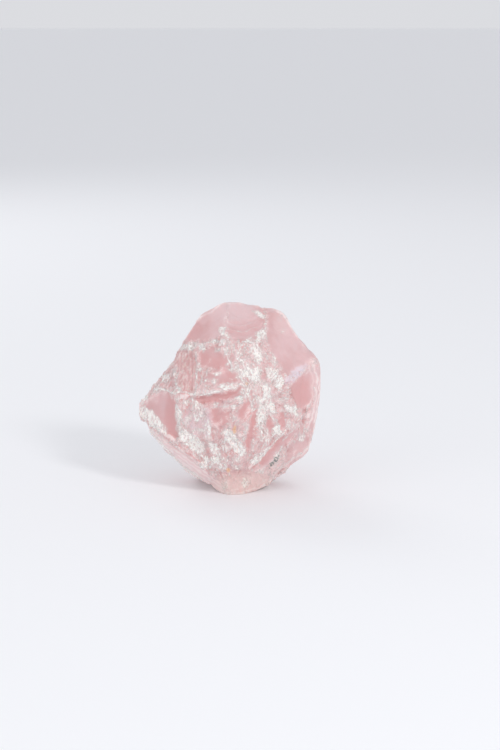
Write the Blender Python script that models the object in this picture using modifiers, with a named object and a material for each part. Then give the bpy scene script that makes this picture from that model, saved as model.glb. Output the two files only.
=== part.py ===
"""A rough chunk of rose quartz, broken out of a massive vein and standing on a small flat break.

It is one piece of stone. The block is the convex hull of its corners. The breaks of the front face
are sunk into it one by one, bowls are struck from its other sides, hackly patches are pecked with
small chips, and the skin is thinned to flat facets. X runs to the right along the broad front face,
Y runs from that face to the back, and Z is up. Lengths are in millimetres until the last step,
which turns them into metres.
"""

import math
import random
from collections import namedtuple

import bmesh
import bpy
import numpy as np
from mathutils import Matrix, Vector, noise

MM = 0.001
NAME = "rose_quartz_chunk"

SKIN = 0.7  # spacing of the points while the stone is being worked
TRIANGLES = 8600  # facets left on the finished stone
SEED = 7
WANDER_SEED = 1795442062  # fixes the smooth random vectors, which otherwise differ each run
COLOUR = (0.70, 0.43, 0.44, 1.0)

# Corners of the block, as (x, y, z). The outline goes clockwise from the top as the front is seen.
OUTLINE = [
    (-3.8, 4, 93.0), (4.6, 6, 92.9), (12.5, 7, 92.0), (25.3, 5, 88.8), (28.2, 4, 85.7),
    (34.2, 3, 76.4), (42.5, 1, 66.5), (45.0, 0, 61.2), (45.6, 0, 56.1), (44.8, 0, 48.1),
    (43.4, 0, 40.0), (42.6, 1, 32.4), (39.9, 2, 19.3), (37.2, 1, 16.5), (29.4, -1, 11.6),
    (24.9, -2, 9.0), (19.5, -4, 2.9), (-5.0, -9, 3.5), (-13.9, -4, 5.2), (-22.8, -2, 11.3),
    (-31.0, -1, 19.6), (-37.8, 0, 27.1), (-43.6, 0, 33.3), (-45.4, 0, 37.5), (-44.8, 0, 41.7),
    (-43.0, 0, 46.5), (-39.3, 1, 50.2), (-33.2, 2, 57.3), (-21.9, 3, 75.7), (-14.8, 4, 86.5),
    (-9.7, 4, 90.0),
]
FRONT = [
    (-11.8, -12, 75.9), (-0.6, -19, 78.2), (12.4, -20, 76.4), (18.7, -16, 75.7), (17.8, -4, 86.9),
    (29.3, -19, 57.6), (40.9, -5, 65.2), (5.2, -28, 51.1), (17.2, -26, 55.6), (-6.8, -26, 56.6),
    (-24.8, -20, 50.4), (-25.1, -17, 27.8), (-39.3, -6, 36.3), (-34.2, -10, 28.6),
    (-14.5, -16, 16.0), (-7.2, -15, 10.1), (7.6, -28, 36.4), (27.1, -15, 28.3), (40.5, -5, 40.1),
    (15.9, -18, 18.0), (5.1, -14, 7.9), (-11.8, -22, 30.0), (30.0, -16, 36.1), (18.9, -10, 11.9),
]
BACK = [
    (-8, 26, 82), (14, 30, 78), (30, 24, 66), (36, 20, 44), (30, 22, 20), (-24, 22, 60),
    (-34, 18, 38), (-20, 28, 20), (8, 38, 50), (12, 38, 28), (-12, 36, 42),
]
FOOT = [
    (1, -13), (5.5, -12), (9, -8), (14.5, 2), (19, 12), (18, 20), (9, 26), (-4, 26), (-12, 22),
    (-2, -12),
]
FOOT_SPARE = 1.5  # the block reaches this far below the foot, and is sawn off there

# The breaks of the front face are drawn as they are seen by an eye straight ahead of the stone and a
# little above it. Across is to the right of the foot and up is above it, in millimetres at the foot.
EYE_DISTANCE = 885.0
EYE_ABOVE = math.radians(11.5)

# A break sinks the skin inside its outline. Each corner is (across, up, step), where the step is how
# far the floor lies behind the skin around it, and bowl is how much deeper the middle is. Rough is
# how hackly the floor is, where 1 is the shattered middle of the face.
Break = namedtuple("Break", "name bowl rough corners")
FRONT_BREAKS = [
    Break("upper left face", 0.8, 0.1, [
        (-23.5, 73.0, 0.2), (-20, 79.5, 0), (-16, 86.5, 0), (-9, 89, 0), (-4.5, 93, 0),
        (-1.5, 93, 0.4), (-1.3, 81, 0.6), (-2.5, 76, 0.4), (-9.5, 73, 0.8)]),
    Break("top bowl", 2.4, 0.16, [
        (-1.3, 93, 0), (4.5, 93, 0), (8.5, 92, 0), (12.5, 92.5, 0), (16.5, 90, 0.6),
        (17.5, 87.5, 1.0), (18, 79, 1.0), (15.5, 75.5, 0.4), (11.5, 73.5, 0.2), (6.5, 72.8, 0.2),
        (1.5, 73.5, 0.2), (-2, 76.5, 0.4), (-1.5, 81, 0.5)]),
    Break("right face", 1.2, 0.1, [
        (17.5, 90.5, 0), (27, 88.5, 0), (29.5, 84.5, 0), (33.5, 79, 0), (39, 70, 0), (43.5, 65.5, 0),
        (38, 62.5, 0.2), (33.5, 59, 0.2), (29, 54.5, 0.4), (27.5, 55, 0.8), (22, 62, 0.6),
        (17.5, 66, 0.8), (16.5, 73, 0.8), (18, 79, 0), (17.5, 87.5, 0)]),
    Break("oval on the right", 1.2, 0.08, [
        (29, 53, 1.4), (33.5, 56, 0.8), (38, 61, 0.8), (41.5, 60, 0.4), (43, 57, 0.2),
        (42.5, 50, 0.2), (39.5, 43, 0.6), (36.5, 39, 1.2), (33.5, 40, 1.4), (32, 43, 1.4),
        (29, 47, 1.4)]),
    Break("tongue", 0.8, 0.1, [
        (-36, 48.5, 0.8), (-31, 49, 1.8), (-28, 46, 2.2), (-26.3, 43.5, 2.0), (-25.3, 39, 2.0),
        (-25.3, 27, 2.2), (-26, 23, 1.2), (-29, 25.5, 0.3), (-33.5, 28.5, 0.2), (-40.5, 35, 0),
        (-43.5, 39, 0), (-41.5, 45, 0.2)]),
    Break("striated face", 0.7, 0.35, [
        (-27, 66, 0), (-18, 70, 0.8), (-16, 66, 1.2), (-17.5, 49, 1.0), (-26, 48.5, 0.2)]),
    Break("middle face", 1.0, 0.22, [
        (-16, 70, 0.6), (-9.5, 71, 0.8), (-2.5, 69, 1.2), (1, 63, 1.4), (1.5, 60.5, 0.8),
        (-4.5, 60.5, 0.2), (-10.5, 59, 0.2), (-15.5, 59.5, 0.2), (-16, 65, 0.2)]),
    Break("ledge face", 0.6, 0.35, [
        (-16, 59, 1.0), (-9.5, 59, 0.8), (1.5, 60.5, 0.8), (5, 59, 0.8), (4.5, 55, 0.4),
        (-0.5, 52.5, 0), (-7.5, 50, 0), (-12.5, 49, 0), (-16.5, 48.5, 0.2)]),
    Break("recess under the ledge", 0.0, 0.3, [
        (-25.5, 47.5, 1.4), (-17.5, 47.5, 2.4), (-12.5, 48, 3.0), (-5.5, 49, 3.2), (1.5, 50.5, 3.0),
        (7.5, 50.2, 1.6), (9, 44, 1.0), (2, 43, 1.2), (-9.5, 42, 1.4), (-18, 42.5, 1.2),
        (-25.5, 43, 1.0)]),
    Break("left plateau", 0.6, 0.45, [
        (-25.3, 43, 0.2), (-19.5, 41, 0.6), (-14.5, 41.5, 0.8), (-8.5, 40, 1.0), (-12.5, 35, 1.2),
        (-14, 29, 1.0), (-12.5, 27, 0.8), (-19.5, 25, 0.2), (-25, 24.5, 0), (-25.3, 34, 0)]),
    Break("centre hollow", 0.8, 0.4, [
        (-9.5, 43, 0.8), (-3.5, 41.5, 0.8), (-2.5, 38, 0.8), (-5.5, 35, 0.8), (-9.5, 34, 0.6),
        (-11.5, 38, 0.8)]),
    Break("lower plate", 1.0, 0.8, [
        (-25, 24, 1.4), (-18.5, 25, 1.8), (-12.5, 26, 1.8), (-7.5, 25.5, 1.4), (-2.5, 23, 1.0),
        (-4.5, 16, 0.4), (-9.5, 11, 0), (-14, 12, 0), (-19.5, 16, 0.2)]),
    Break("bright shard", 0.2, 0.4, [
        (-1.5, 30, 0.6), (2.5, 28, 1.8), (6.5, 22, 2.0), (7, 18, 1.6), (3, 17.5, 0.2),
        (0.5, 22, 0), (-2, 26, 0)]),
    Break("upright shard", 0.3, 0.4, [
        (11.5, 39, 1.0), (13, 38, 1.8), (12.5, 29, 2.2), (9.5, 19, 2.0), (7.5, 13, 1.0),
        (6.5, 14, 0.2), (7.5, 25, 0.2), (10, 34, 0.4)]),
    Break("heart", 0.6, 0.4, [
        (2, 44, 0.8), (7.5, 45, 1.2), (9, 42, 1.4), (6.5, 37, 1.0), (3.5, 35, 0.6), (1.5, 39, 0.6)]),
    Break("white facet", 0.6, 0.7, [
        (13.5, 39, 0.2), (17.5, 37, 0.8), (23.5, 31, 1.2), (25.5, 27, 1.0), (21.5, 23, 0.4),
        (15.5, 16, 0.2), (10.5, 12, 0.2), (8.5, 13, 0.4), (11.5, 21, 0), (13.5, 30, 0)]),
    Break("right pocket", 0.8, 0.6, [
        (26.5, 42, 1.2), (31.5, 40, 1.2), (33.5, 36, 0.8), (30.5, 31, 0.4), (26.5, 29, 0.6),
        (24.5, 34, 1.0), (25, 39, 1.0)]),
    Break("lower right band", 0.4, 0.25, [
        (31.5, 31, 0.8), (34.5, 29, 0.2), (27.5, 21, 0.2), (21.5, 14, 0.2), (16.5, 9, 0),
        (11.5, 8, 0.4), (9.5, 10, 0.8), (16.5, 16, 1.4), (23.5, 23, 1.6), (27.5, 27.5, 1.4)]),
    Break("lower right rim", 0.8, 0.3, [
        (34.5, 29, 1.0), (40, 29, 0.2), (41.5, 19, 0), (38, 15.5, 0), (31.5, 10, 0), (28.5, 10, 0),
        (26.5, 9, 0), (25.5, 13, 0.8), (27.5, 20, 1.0), (31.5, 25, 1.2)]),
    Break("toe", 0.8, 0.35, [
        (1.5, 11, 1.0), (7.5, 10, 1.0), (11.5, 8, 0.8), (16.5, 9, 0.4), (19.5, 6, 0.2), (20.5, 2, 0),
        (13.5, -1, 0), (7.5, -3, 0), (1.5, -3.5, 0), (-2.5, -1, 0), (-2.5, 3, 0.2), (-0.5, 7, 0.6)]),
    Break("lower left bevel", 0.0, 0.12, [
        (-42.5, 32, 0), (-35, 25.5, 0), (-26, 20, 0), (-15, 11.5, 0), (-7.5, 6.5, 0), (-1.5, 2, 0),
        (-2.5, -4, 2.6), (-8.5, 0, 2.8), (-15, 2, 3.0), (-22.5, 6, 3.2), (-32.5, 15, 3.2),
        (-40, 21, 3.0), (-47, 32, 1.2)]),
    Break("right rim", 0.0, 0.2, [
        (39.5, 62, 0), (42, 52, 0), (41, 44, 0), (38.2, 37, 0), (38, 30, 0), (44, 26, 2.4),
        (46, 38, 2.8), (47.5, 50, 2.6), (47, 58, 1.8), (43, 65, 0.6)]),
]
EDGE_WANDER = 1.0  # how far the outline of a break strays from straight lines
EDGE_GRAIN = 4.5  # the length of those strays

# A bowl is a piece of a sphere struck out of the skin nearest to a point, square to a direction.
Bowl = namedtuple("Bowl", "name at outward width depth")
BOWLS = [
    Bowl("left shoulder", (-32, 0, 61), (-0.81, -0.1, 0.58), 27, 2.9),
    Bowl("left shoulder lip", (-39, 0, 50), (-0.72, -0.2, 0.66), 9, 0.9),
    Bowl("right shoulder", (31, 3, 82), (0.86, 0.1, 0.5), 22, 1.5),
    Bowl("top notch", (10, 6, 93), (0.1, -0.3, 0.95), 7, 1.3),
    Bowl("top left notch", (-12, 4, 89), (-0.55, -0.2, 0.8), 8, 0.8),
    Bowl("right waist", (44.6, 0, 44), (1.0, 0.1, -0.1), 14, 0.9),
    Bowl("left waist", (-45, 0, 37), (-1.0, -0.1, -0.2), 9, 0.7),
    Bowl("lower left rim", (-27, -1, 15), (-0.7, -0.1, -0.7), 14, 0.9),
    Bowl("lower right rim", (33, 0, 13), (0.5, 0.1, -0.85), 16, 1.2),
    Bowl("right heel", (25, 2, 6), (0.6, 0.1, -0.8), 16, 1.4),
]
BACK_BOWLS = 26
BACK_WIDTH = (14.0, 46.0)
BACK_DEPTH = 0.075  # of the width
RIM_CLEAR = (4.0, 14.0)  # bowls on the back fade out between these places behind the front
LOW_CLEAR = (3.0, 30.0)  # and between these heights above the foot

# Hackle is made of small flat flakes, each tilted its own way. Grain is their size, height is how
# far they stand out of one another.
Hackle = namedtuple("Hackle", "grain height")
HACKLE = [Hackle(11.0, 1.5), Hackle(5.0, 0.9)]
ELSEWHERE_ROUGH = 0.42  # away from the front face
FOOT_CLEAR = 5.0  # the hackle fades out within this height of the foot


def clear_scene():
    for obj in list(bpy.data.objects):
        bpy.data.objects.remove(obj)


def block(collection):
    """The convex block between the corners."""
    bm = bmesh.new()
    for corner in OUTLINE + FRONT + BACK + [(x, y, -FOOT_SPARE) for x, y in FOOT]:
        bm.verts.new(corner)
    bmesh.ops.convex_hull(bm, input=bm.verts)
    loose = [v for v in bm.verts if not v.link_faces]
    bmesh.ops.delete(bm, geom=loose, context="VERTS")
    mesh = bpy.data.meshes.new(NAME)
    bm.to_mesh(mesh)
    bm.free()
    stone = bpy.data.objects.new(NAME, mesh)
    collection.objects.link(stone)
    return stone


def apply_modifiers(stone):
    graph = bpy.context.evaluated_depsgraph_get()
    mesh = bpy.data.meshes.new_from_object(stone.evaluated_get(graph))
    stone.modifiers.clear()
    stone.data = mesh


def new_skin(stone):
    """Covers the stone with an even skin of small faces."""
    remesh = stone.modifiers.new("skin", "REMESH")
    remesh.mode = "VOXEL"
    remesh.voxel_size = SKIN
    apply_modifiers(stone)


def points_of(mesh):
    points = np.empty(len(mesh.vertices) * 3, np.float32)
    mesh.vertices.foreach_get("co", points)
    return points.reshape(-1, 3).astype(float)


def normals_of(mesh):
    normals = np.empty(len(mesh.vertices) * 3, np.float32)
    mesh.vertices.foreach_get("normal", normals)
    return normals.reshape(-1, 3).astype(float)


def move_points(mesh, points):
    mesh.vertices.foreach_set("co", np.ascontiguousarray(points, np.float32).ravel())
    mesh.update()


def wander(points, grain, amount, seed):
    """Smooth random vectors, one for each point."""
    offset = Vector((seed * 17.0, seed * 31.0, seed * 7.0))
    return amount * np.array([noise.noise_vector(Vector(p) / grain + offset) for p in points])


def eye_view(points):
    """Across and up of each point as the eye sees it, and the direction in which the eye looks."""
    forward = np.array((0.0, math.cos(EYE_ABOVE), -math.sin(EYE_ABOVE)))
    upward = np.array((0.0, math.sin(EYE_ABOVE), math.cos(EYE_ABOVE)))
    nearer = EYE_DISTANCE / (EYE_DISTANCE + points @ forward)
    return np.stack((points[:, 0] * nearer, (points @ upward) * nearer), axis=1), forward


def floor_depth(seen, corners, bowl):
    """How far each seen point sinks into a break, which is 0 outside its outline."""
    inside = np.zeros(len(seen), bool)
    weight = np.zeros(len(seen))
    step = np.zeros(len(seen))
    nearest = np.full(len(seen), np.inf)
    for start, end in zip(corners, corners[1:] + corners[:1]):
        a, b = np.array(start[:2]), np.array(end[:2])
        crosses = (a[1] > seen[:, 1]) != (b[1] > seen[:, 1])
        if a[1] != b[1]:
            meets = a[0] + (seen[:, 1] - a[1]) / (b[1] - a[1]) * (b[0] - a[0])
            inside ^= crosses & (seen[:, 0] < meets)
        share = np.clip((seen - a) @ (b - a) / ((b - a) @ (b - a)), 0, 1)
        distance = np.linalg.norm(seen - a - np.outer(share, b - a), axis=1)
        pull = np.linalg.norm(b - a) / (distance + 0.05) ** 2
        weight += pull
        step += pull * (start[2] + share * (end[2] - start[2]))
        nearest = np.minimum(nearest, distance)
    middle = nearest[inside].max() if inside.any() else 1.0
    rise = 1 - np.clip(nearest / middle, 0, 1)
    return np.where(inside, step / weight + bowl * (1 - rise**2), 0)


def sink_front_breaks(stone):
    points, normals = points_of(stone.data), normals_of(stone.data)
    seen, forward = eye_view(points)
    seen = seen + wander(points, EDGE_GRAIN, EDGE_WANDER, 1)[:, :2]
    depth = np.zeros(len(points))
    for broken in FRONT_BREAKS:
        depth = np.maximum(depth, floor_depth(seen, broken.corners, broken.bowl))
    facing = np.clip(-(normals @ forward) / 0.2, 0, 1)
    move_points(stone.data, points + np.outer(depth * facing, forward))


def strike(stone, bowl, keep):
    """Pushes the skin in to the sphere of the bowl, except for the share of it to keep."""
    points = points_of(stone.data)
    outward = np.array(bowl.outward) / np.linalg.norm(bowl.outward)
    away = points - np.array(bowl.at)
    along = away @ outward
    off_axis = np.linalg.norm(away - np.outer(along, outward), axis=1)
    near = (off_axis < 3.0) & (np.abs(along) < 25.0)
    surface = along[near].max() if near.any() else 0.0
    radius = (bowl.width**2 / 4 + bowl.depth**2) / (2 * bowl.depth)
    centre = surface + radius - bowl.depth
    room = radius**2 - off_axis**2
    floor = centre - np.sqrt(np.maximum(room, 0))
    cut = np.where((room > 0) & (along > surface - 20.0), np.maximum(along - floor, 0), 0)
    move_points(stone.data, points - np.outer(cut * (1 - keep), outward))


def back_bowls():
    """Bowls spread over the sides, top and back, in the order from large to small."""
    chance = random.Random(SEED)
    bowls = []
    for count in range(BACK_BOWLS):
        share = count / (BACK_BOWLS - 1)
        rise = chance.uniform(-0.55, 0.95)
        turn = math.radians(chance.uniform(-18, 198))
        level = math.sqrt(1 - rise**2)
        outward = (level * math.cos(turn), level * math.sin(turn), rise)
        at = (28 * outward[0], 3 + 24 * outward[1], 46 + 30 * rise)
        width = BACK_WIDTH[1] + (BACK_WIDTH[0] - BACK_WIDTH[1]) * share**0.6
        depth = width * BACK_DEPTH * chance.uniform(0.7, 1.3)
        bowls.append(Bowl(f"back {count + 1}", at, outward, width, depth))
    return bowls


def strike_bowls(stone):
    points = points_of(stone.data)
    behind = (points[:, 1] - RIM_CLEAR[0]) / (RIM_CLEAR[1] - RIM_CLEAR[0])
    above = (points[:, 2] - LOW_CLEAR[0]) / (LOW_CLEAR[1] - LOW_CLEAR[0])
    keep = 1 - np.clip(behind, 0, 1) * np.clip(above, 0, 1)
    for bowl in back_bowls():
        strike(stone, bowl, keep)
    for bowl in BOWLS:
        strike(stone, bowl, 0)


def roughness_of(points, normals):
    """How hackly the stone is at each point."""
    seen, forward = eye_view(points)
    seen = seen + wander(points, EDGE_GRAIN, EDGE_WANDER, 1)[:, :2]
    rough = np.ones(len(points))
    for broken in FRONT_BREAKS:
        inside = floor_depth(seen, broken.corners, 1e-6) > 0
        rough[inside] = broken.rough
    front = np.clip((-(normals @ forward) - 0.1) / 0.3, 0, 1)
    rough = ELSEWHERE_ROUGH + (rough - ELSEWHERE_ROUGH) * front
    return rough * np.clip(points[:, 2] / FOOT_CLEAR, 0, 1)


def peck(stone, hackle, seed):
    """Breaks the skin into flakes."""
    points, normals = points_of(stone.data), normals_of(stone.data)
    rough = roughness_of(points, normals)
    offset = Vector((seed * 23.0, seed * 5.0, seed * 11.0))
    strays = wander(points, hackle.grain * 0.4, 0.12, seed + 3)
    depth = np.zeros(len(points))
    for index, point in enumerate(points):
        place = Vector((point[0], point[1], point[2] * 0.62)) / hackle.grain + offset
        place += Vector(strays[index])
        middle = noise.voronoi(place)[1][0]
        tilt = noise.cell_vector(middle * 13.7) * 2 - Vector((1, 1, 1))
        depth[index] = 0.5 * noise.cell(middle * 9.1) + 0.9 * (place - middle).dot(tilt)
    depth = np.clip(depth, -0.7, 0.9) + 0.3
    move_points(stone.data, points - normals * (depth * rough * hackle.height)[:, None])


def thin(stone):
    """Leaves only the facets that the shape needs."""
    decimate = stone.modifiers.new("thin", "DECIMATE")
    decimate.ratio = TRIANGLES / sum(len(face.vertices) - 2 for face in stone.data.polygons)
    decimate.use_collapse_triangulate = True
    apply_modifiers(stone)


def saw_foot(stone):
    """Cuts the stone off level at the foot, and closes the cut with one flat break."""
    bm = bmesh.new()
    bm.from_mesh(stone.data)
    everything = bm.verts[:] + bm.edges[:] + bm.faces[:]
    bmesh.ops.bisect_plane(
        bm, geom=everything, plane_co=(0, 0, 0), plane_no=(0, 0, 1), clear_inner=True)
    rim = [edge for edge in bm.edges if edge.is_boundary]
    bmesh.ops.holes_fill(bm, edges=rim)
    bmesh.ops.triangulate(bm, faces=[face for face in bm.faces if len(face.verts) > 3])
    bm.to_mesh(stone.data)
    bm.free()


def centre(stone):
    """Brings the middle of the bounding box over the origin, with the foot at the height 0."""
    points = points_of(stone.data)
    middle = (points.min(axis=0) + points.max(axis=0)) / 2
    stone.data.transform(Matrix.Translation((-middle[0], -middle[1], 0)))


def paint(stone):
    """Gives the stone the pink of rose quartz."""
    pink = bpy.data.materials.new("rose quartz")
    pink.use_nodes = True
    shader = pink.node_tree.nodes["Principled BSDF"]
    shader.inputs["Base Color"].default_value = COLOUR
    shader.inputs["Roughness"].default_value = 0.45
    shader.inputs["Metallic"].default_value = 0.0
    stone.data.materials.clear()
    stone.data.materials.append(pink)


def main():
    noise.seed_set(WANDER_SEED)
    clear_scene()
    collection = bpy.data.collections.new(NAME)
    bpy.context.scene.collection.children.link(collection)
    stone = block(collection)
    new_skin(stone)
    strike_bowls(stone)
    new_skin(stone)
    sink_front_breaks(stone)
    new_skin(stone)
    for seed, hackle in enumerate(HACKLE):
        peck(stone, hackle, seed)
        new_skin(stone)
    thin(stone)
    saw_foot(stone)
    centre(stone)
    stone.data.transform(Matrix.Scale(MM, 4))
    paint(stone)


main()
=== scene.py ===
import math

import bpy
import numpy as np
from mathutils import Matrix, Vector, noise


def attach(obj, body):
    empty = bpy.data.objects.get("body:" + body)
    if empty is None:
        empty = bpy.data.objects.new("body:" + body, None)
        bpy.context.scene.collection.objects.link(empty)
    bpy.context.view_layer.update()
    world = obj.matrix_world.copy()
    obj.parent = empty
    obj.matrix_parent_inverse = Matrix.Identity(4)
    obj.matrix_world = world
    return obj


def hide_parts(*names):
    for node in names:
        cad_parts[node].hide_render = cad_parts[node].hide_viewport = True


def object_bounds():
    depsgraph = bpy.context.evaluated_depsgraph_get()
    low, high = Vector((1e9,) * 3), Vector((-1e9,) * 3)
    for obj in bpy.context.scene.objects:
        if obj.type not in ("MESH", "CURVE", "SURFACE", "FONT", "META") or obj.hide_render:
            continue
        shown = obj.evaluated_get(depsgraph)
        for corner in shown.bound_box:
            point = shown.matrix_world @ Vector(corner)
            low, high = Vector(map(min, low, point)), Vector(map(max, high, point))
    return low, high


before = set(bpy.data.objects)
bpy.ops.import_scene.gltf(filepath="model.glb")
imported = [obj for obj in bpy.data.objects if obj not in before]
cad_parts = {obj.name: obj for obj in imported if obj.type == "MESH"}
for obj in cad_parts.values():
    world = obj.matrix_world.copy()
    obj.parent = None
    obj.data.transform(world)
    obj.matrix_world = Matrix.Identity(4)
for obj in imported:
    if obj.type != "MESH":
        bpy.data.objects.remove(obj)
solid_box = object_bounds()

# The camera stands straight ahead of the broad broken face, a little above the stone, and looks
# slightly down at it from a bit under a metre away.
PITCH = math.radians(11.5)
EYE_DISTANCE = 885.5  # millimetres
LOOKED_AT = (10.0, 56.5)  # millimetres to the right of the foot, and up
SHIFT = Vector((0.0000087, -0.0053518, 0.0))  # from the foot of the broad face to the origin
looks = Vector((0.0, math.cos(PITCH), -math.sin(PITCH)))
rises = Vector((0.0, math.sin(PITCH), math.cos(PITCH)))
target = SHIFT + Vector((LOOKED_AT[0] / 1000, 0.0, 0.0)) + rises * (LOOKED_AT[1] / 1000)
bpy.ops.object.camera_add(location=target - looks * (EYE_DISTANCE / 1000))
camera = bpy.context.object
camera.name = "camera"
camera.rotation_mode = "QUATERNION"
camera.rotation_quaternion = looks.to_track_quat("-Z", "Y")
camera.data.lens = 85
camera.data.sensor_width = 36
camera.data.clip_start = 0.05
bpy.context.scene.camera = camera

# The stone is one lump of massive rose quartz. Its skin is worked on a fine mesh grown from the
# solid: the struck faces are evened out first, as they broke off clean.
SKIN_GRAIN = 0.00048
bpy.ops.object.select_all(action="DESELECT")
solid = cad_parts["rose_quartz_chunk"]
stone = solid.copy()
stone.data = solid.data.copy()
stone.parent = None
for key in list(stone.keys()):
    del stone[key]
stone.name = "stone"
bpy.context.scene.collection.objects.link(stone)
stone.select_set(True)
bpy.context.view_layer.objects.active = stone
bpy.ops.object.mode_set(mode="EDIT")
bpy.ops.mesh.select_all(action="SELECT")
bpy.ops.mesh.remove_doubles(threshold=1e-6)
bpy.ops.object.mode_set(mode="OBJECT")
remesh = stone.modifiers.new("skin", "REMESH")
remesh.mode = "VOXEL"
remesh.voxel_size = SKIN_GRAIN
bpy.ops.object.modifier_apply(modifier=remesh.name)


def smoothstep(low, high, value):
    share = np.clip((value - low) / (high - low), 0, 1)
    return share * share * (3 - 2 * share)


def skin_points():
    """The skin's points in millimetres, measured from the foot of the broad face."""
    flat = np.empty(len(stone.data.vertices) * 3, np.float32)
    stone.data.vertices.foreach_get("co", flat)
    return (flat.reshape(-1, 3).astype(float) - np.array(SHIFT)) * 1000


def skin_normals():
    flat = np.empty(len(stone.data.vertices) * 3, np.float32)
    stone.data.vertices.foreach_get("normal", flat)
    return flat.reshape(-1, 3).astype(float)


def set_skin(points):
    """Moves the skin to these points, kept within the solid's box."""
    metres = points / 1000 + np.array(SHIFT)
    metres = np.clip(metres, np.array(solid_box[0]), np.array(solid_box[1]))
    stone.data.vertices.foreach_set("co", metres.astype(np.float32).ravel())
    stone.data.update()


def across_up(points):
    """Where each point stands on the broad face: millimetres to the right of the foot, and up."""
    nearer = EYE_DISTANCE / (EYE_DISTANCE + points @ np.array(looks))
    flat = np.stack((points[:, 0], points @ np.array(rises)), axis=1)
    middle = np.array(LOOKED_AT)
    return middle + (flat - middle) * nearer[:, None]


noise.seed_set(2)  # without a seed, noise_vector gives other vectors on each run


def wander(points, grain, seed):
    """Smooth random vectors, mostly between -1 and 1."""
    places = (points / grain + seed * 11.3).tolist()
    return np.array([noise.noise_vector(place) for place in places]) * 1.7


def on_broad_face(points):
    """1 on the broad broken face, and 0 on the sides and the back, past an uneven rim."""
    depth_in = points[:, 1] - 0.04 * np.abs(points[:, 0])
    return smoothstep(8.5, 6.0, depth_in + wander(points, 9.0, 7) @ (3.0, 1.0, 0.0))


def lots(places, seed):
    """Three random numbers from 0 to 1 for each place, the same wherever the place is met."""
    mixed = np.sin(places @ np.array((12.9898, 78.233, 37.719)) + seed) * 4375.85
    drawn = np.stack((mixed, mixed * 1.7 + 0.3, mixed * 2.9 + 0.7), axis=-1)
    return drawn - np.floor(drawn)


def chips(points, grain, seed, stretch=(1, 1, 1)):
    """Flat chips, each with a height and a tilt of its own.

    Gives their depth from about -1 to 1, a number of each chip's own from 0 to 1, and how far a
    point is from its chip's edge as a share of the grain.
    """
    places = points / grain / np.array(stretch) + seed * 7.7
    found = []
    for place in places.tolist():
        away, middles = noise.voronoi(place)
        found.append((away[1] - away[0], *middles[0]))
    found = np.array(found)
    rim, middles = found[:, 0], found[:, 1:]
    lot = lots(middles, seed)
    tilt = lots(middles, seed + 50) * 2 - 1
    depth = lot[:, 0] - 0.5 + 1.1 * ((places - middles) * tilt).sum(axis=1)
    return np.stack((np.clip(depth, -1, 1), lot[:, 1], rim))


def scoops(points, grain, seed, stretch=(1, 1, 1)):
    """Shallow round scars that meet in sharp ridges.

    Gives their depth, 1 in the middle of a big one and 0 at a ridge, a number of each scar's own
    from 0 to 1, and how far a point is from the ridge round it, as a share of the grain.
    """
    places = points / grain / np.array(stretch) + seed * 7.7
    found = [noise.voronoi(place) for place in places.tolist()]
    away = np.array([distances for distances, _ in found])
    middles = np.array([[tuple(middle) for middle in four] for _, four in found])
    heights = away**2 - 0.3 * lots(middles, seed)[..., 0]
    lowest, next_lowest = np.sort(heights, axis=1)[:, :2].T
    own = middles[np.arange(len(points)), heights.argmin(axis=1)]
    return np.stack((np.clip(1 - 1.4 * (lowest + 0.3), 0, 1), lots(own, seed + 9)[:, 1],
                     (next_lowest - lowest) / 2))


def within(seen, corners, soft):
    """1 inside the outline and 0 outside it, over an edge this soft."""
    low, high = np.min(corners, axis=0) - soft, np.max(corners, axis=0) + soft
    near = np.flatnonzero(((seen > low) & (seen < high)).all(axis=1))
    close = seen[near]
    inside = np.zeros(len(close), bool)
    nearest = np.full(len(close), np.inf)
    for start, end in zip(corners, corners[1:] + corners[:1]):
        a, b = np.array(start, float), np.array(end, float)
        if a[1] != b[1]:
            meets = a[0] + (close[:, 1] - a[1]) / (b[1] - a[1]) * (b[0] - a[0])
            inside ^= ((a[1] > close[:, 1]) != (b[1] > close[:, 1])) & (close[:, 0] < meets)
        share = np.clip((close - a) @ (b - a) / ((b - a) @ (b - a)), 0, 1)
        nearest = np.minimum(nearest, np.linalg.norm(close - a - np.outer(share, b - a), axis=1))
    covered = np.zeros(len(seen))
    covered[near] = smoothstep(-soft, soft, np.where(inside, nearest, -nearest))
    return covered


def patch(seen, across, up, wide, high, turn):
    """An oval that falls off from 1 in its middle to 0 at its edge."""
    angle = math.radians(turn)
    x, y = seen[:, 0] - across, seen[:, 1] - up
    along = x * math.cos(angle) + y * math.sin(angle)
    over = -x * math.sin(angle) + y * math.cos(angle)
    return np.clip(1 - (along / (wide * 1.35)) ** 2 - (over / (high * 1.35)) ** 2, 0, 1) ** 0.5


def seam(seen, corners, half):
    """A line along these corners that falls off over half its width."""
    nearest = np.full(len(seen), np.inf)
    for start, end in zip(corners, corners[1:]):
        a, b = np.array(start, float), np.array(end, float)
        share = np.clip((seen - a) @ (b - a) / ((b - a) @ (b - a)), 0, 1)
        nearest = np.minimum(nearest, np.linalg.norm(seen - a - np.outer(share, b - a), axis=1))
    return np.clip(1.3 - nearest / half, 0, 1)


def keep_on_skin(name, values):
    layer = stone.data.attributes.new(name, "FLOAT", "POINT")
    layer.data.foreach_set("value", np.clip(values, 0, 1).astype(np.float32))


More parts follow.
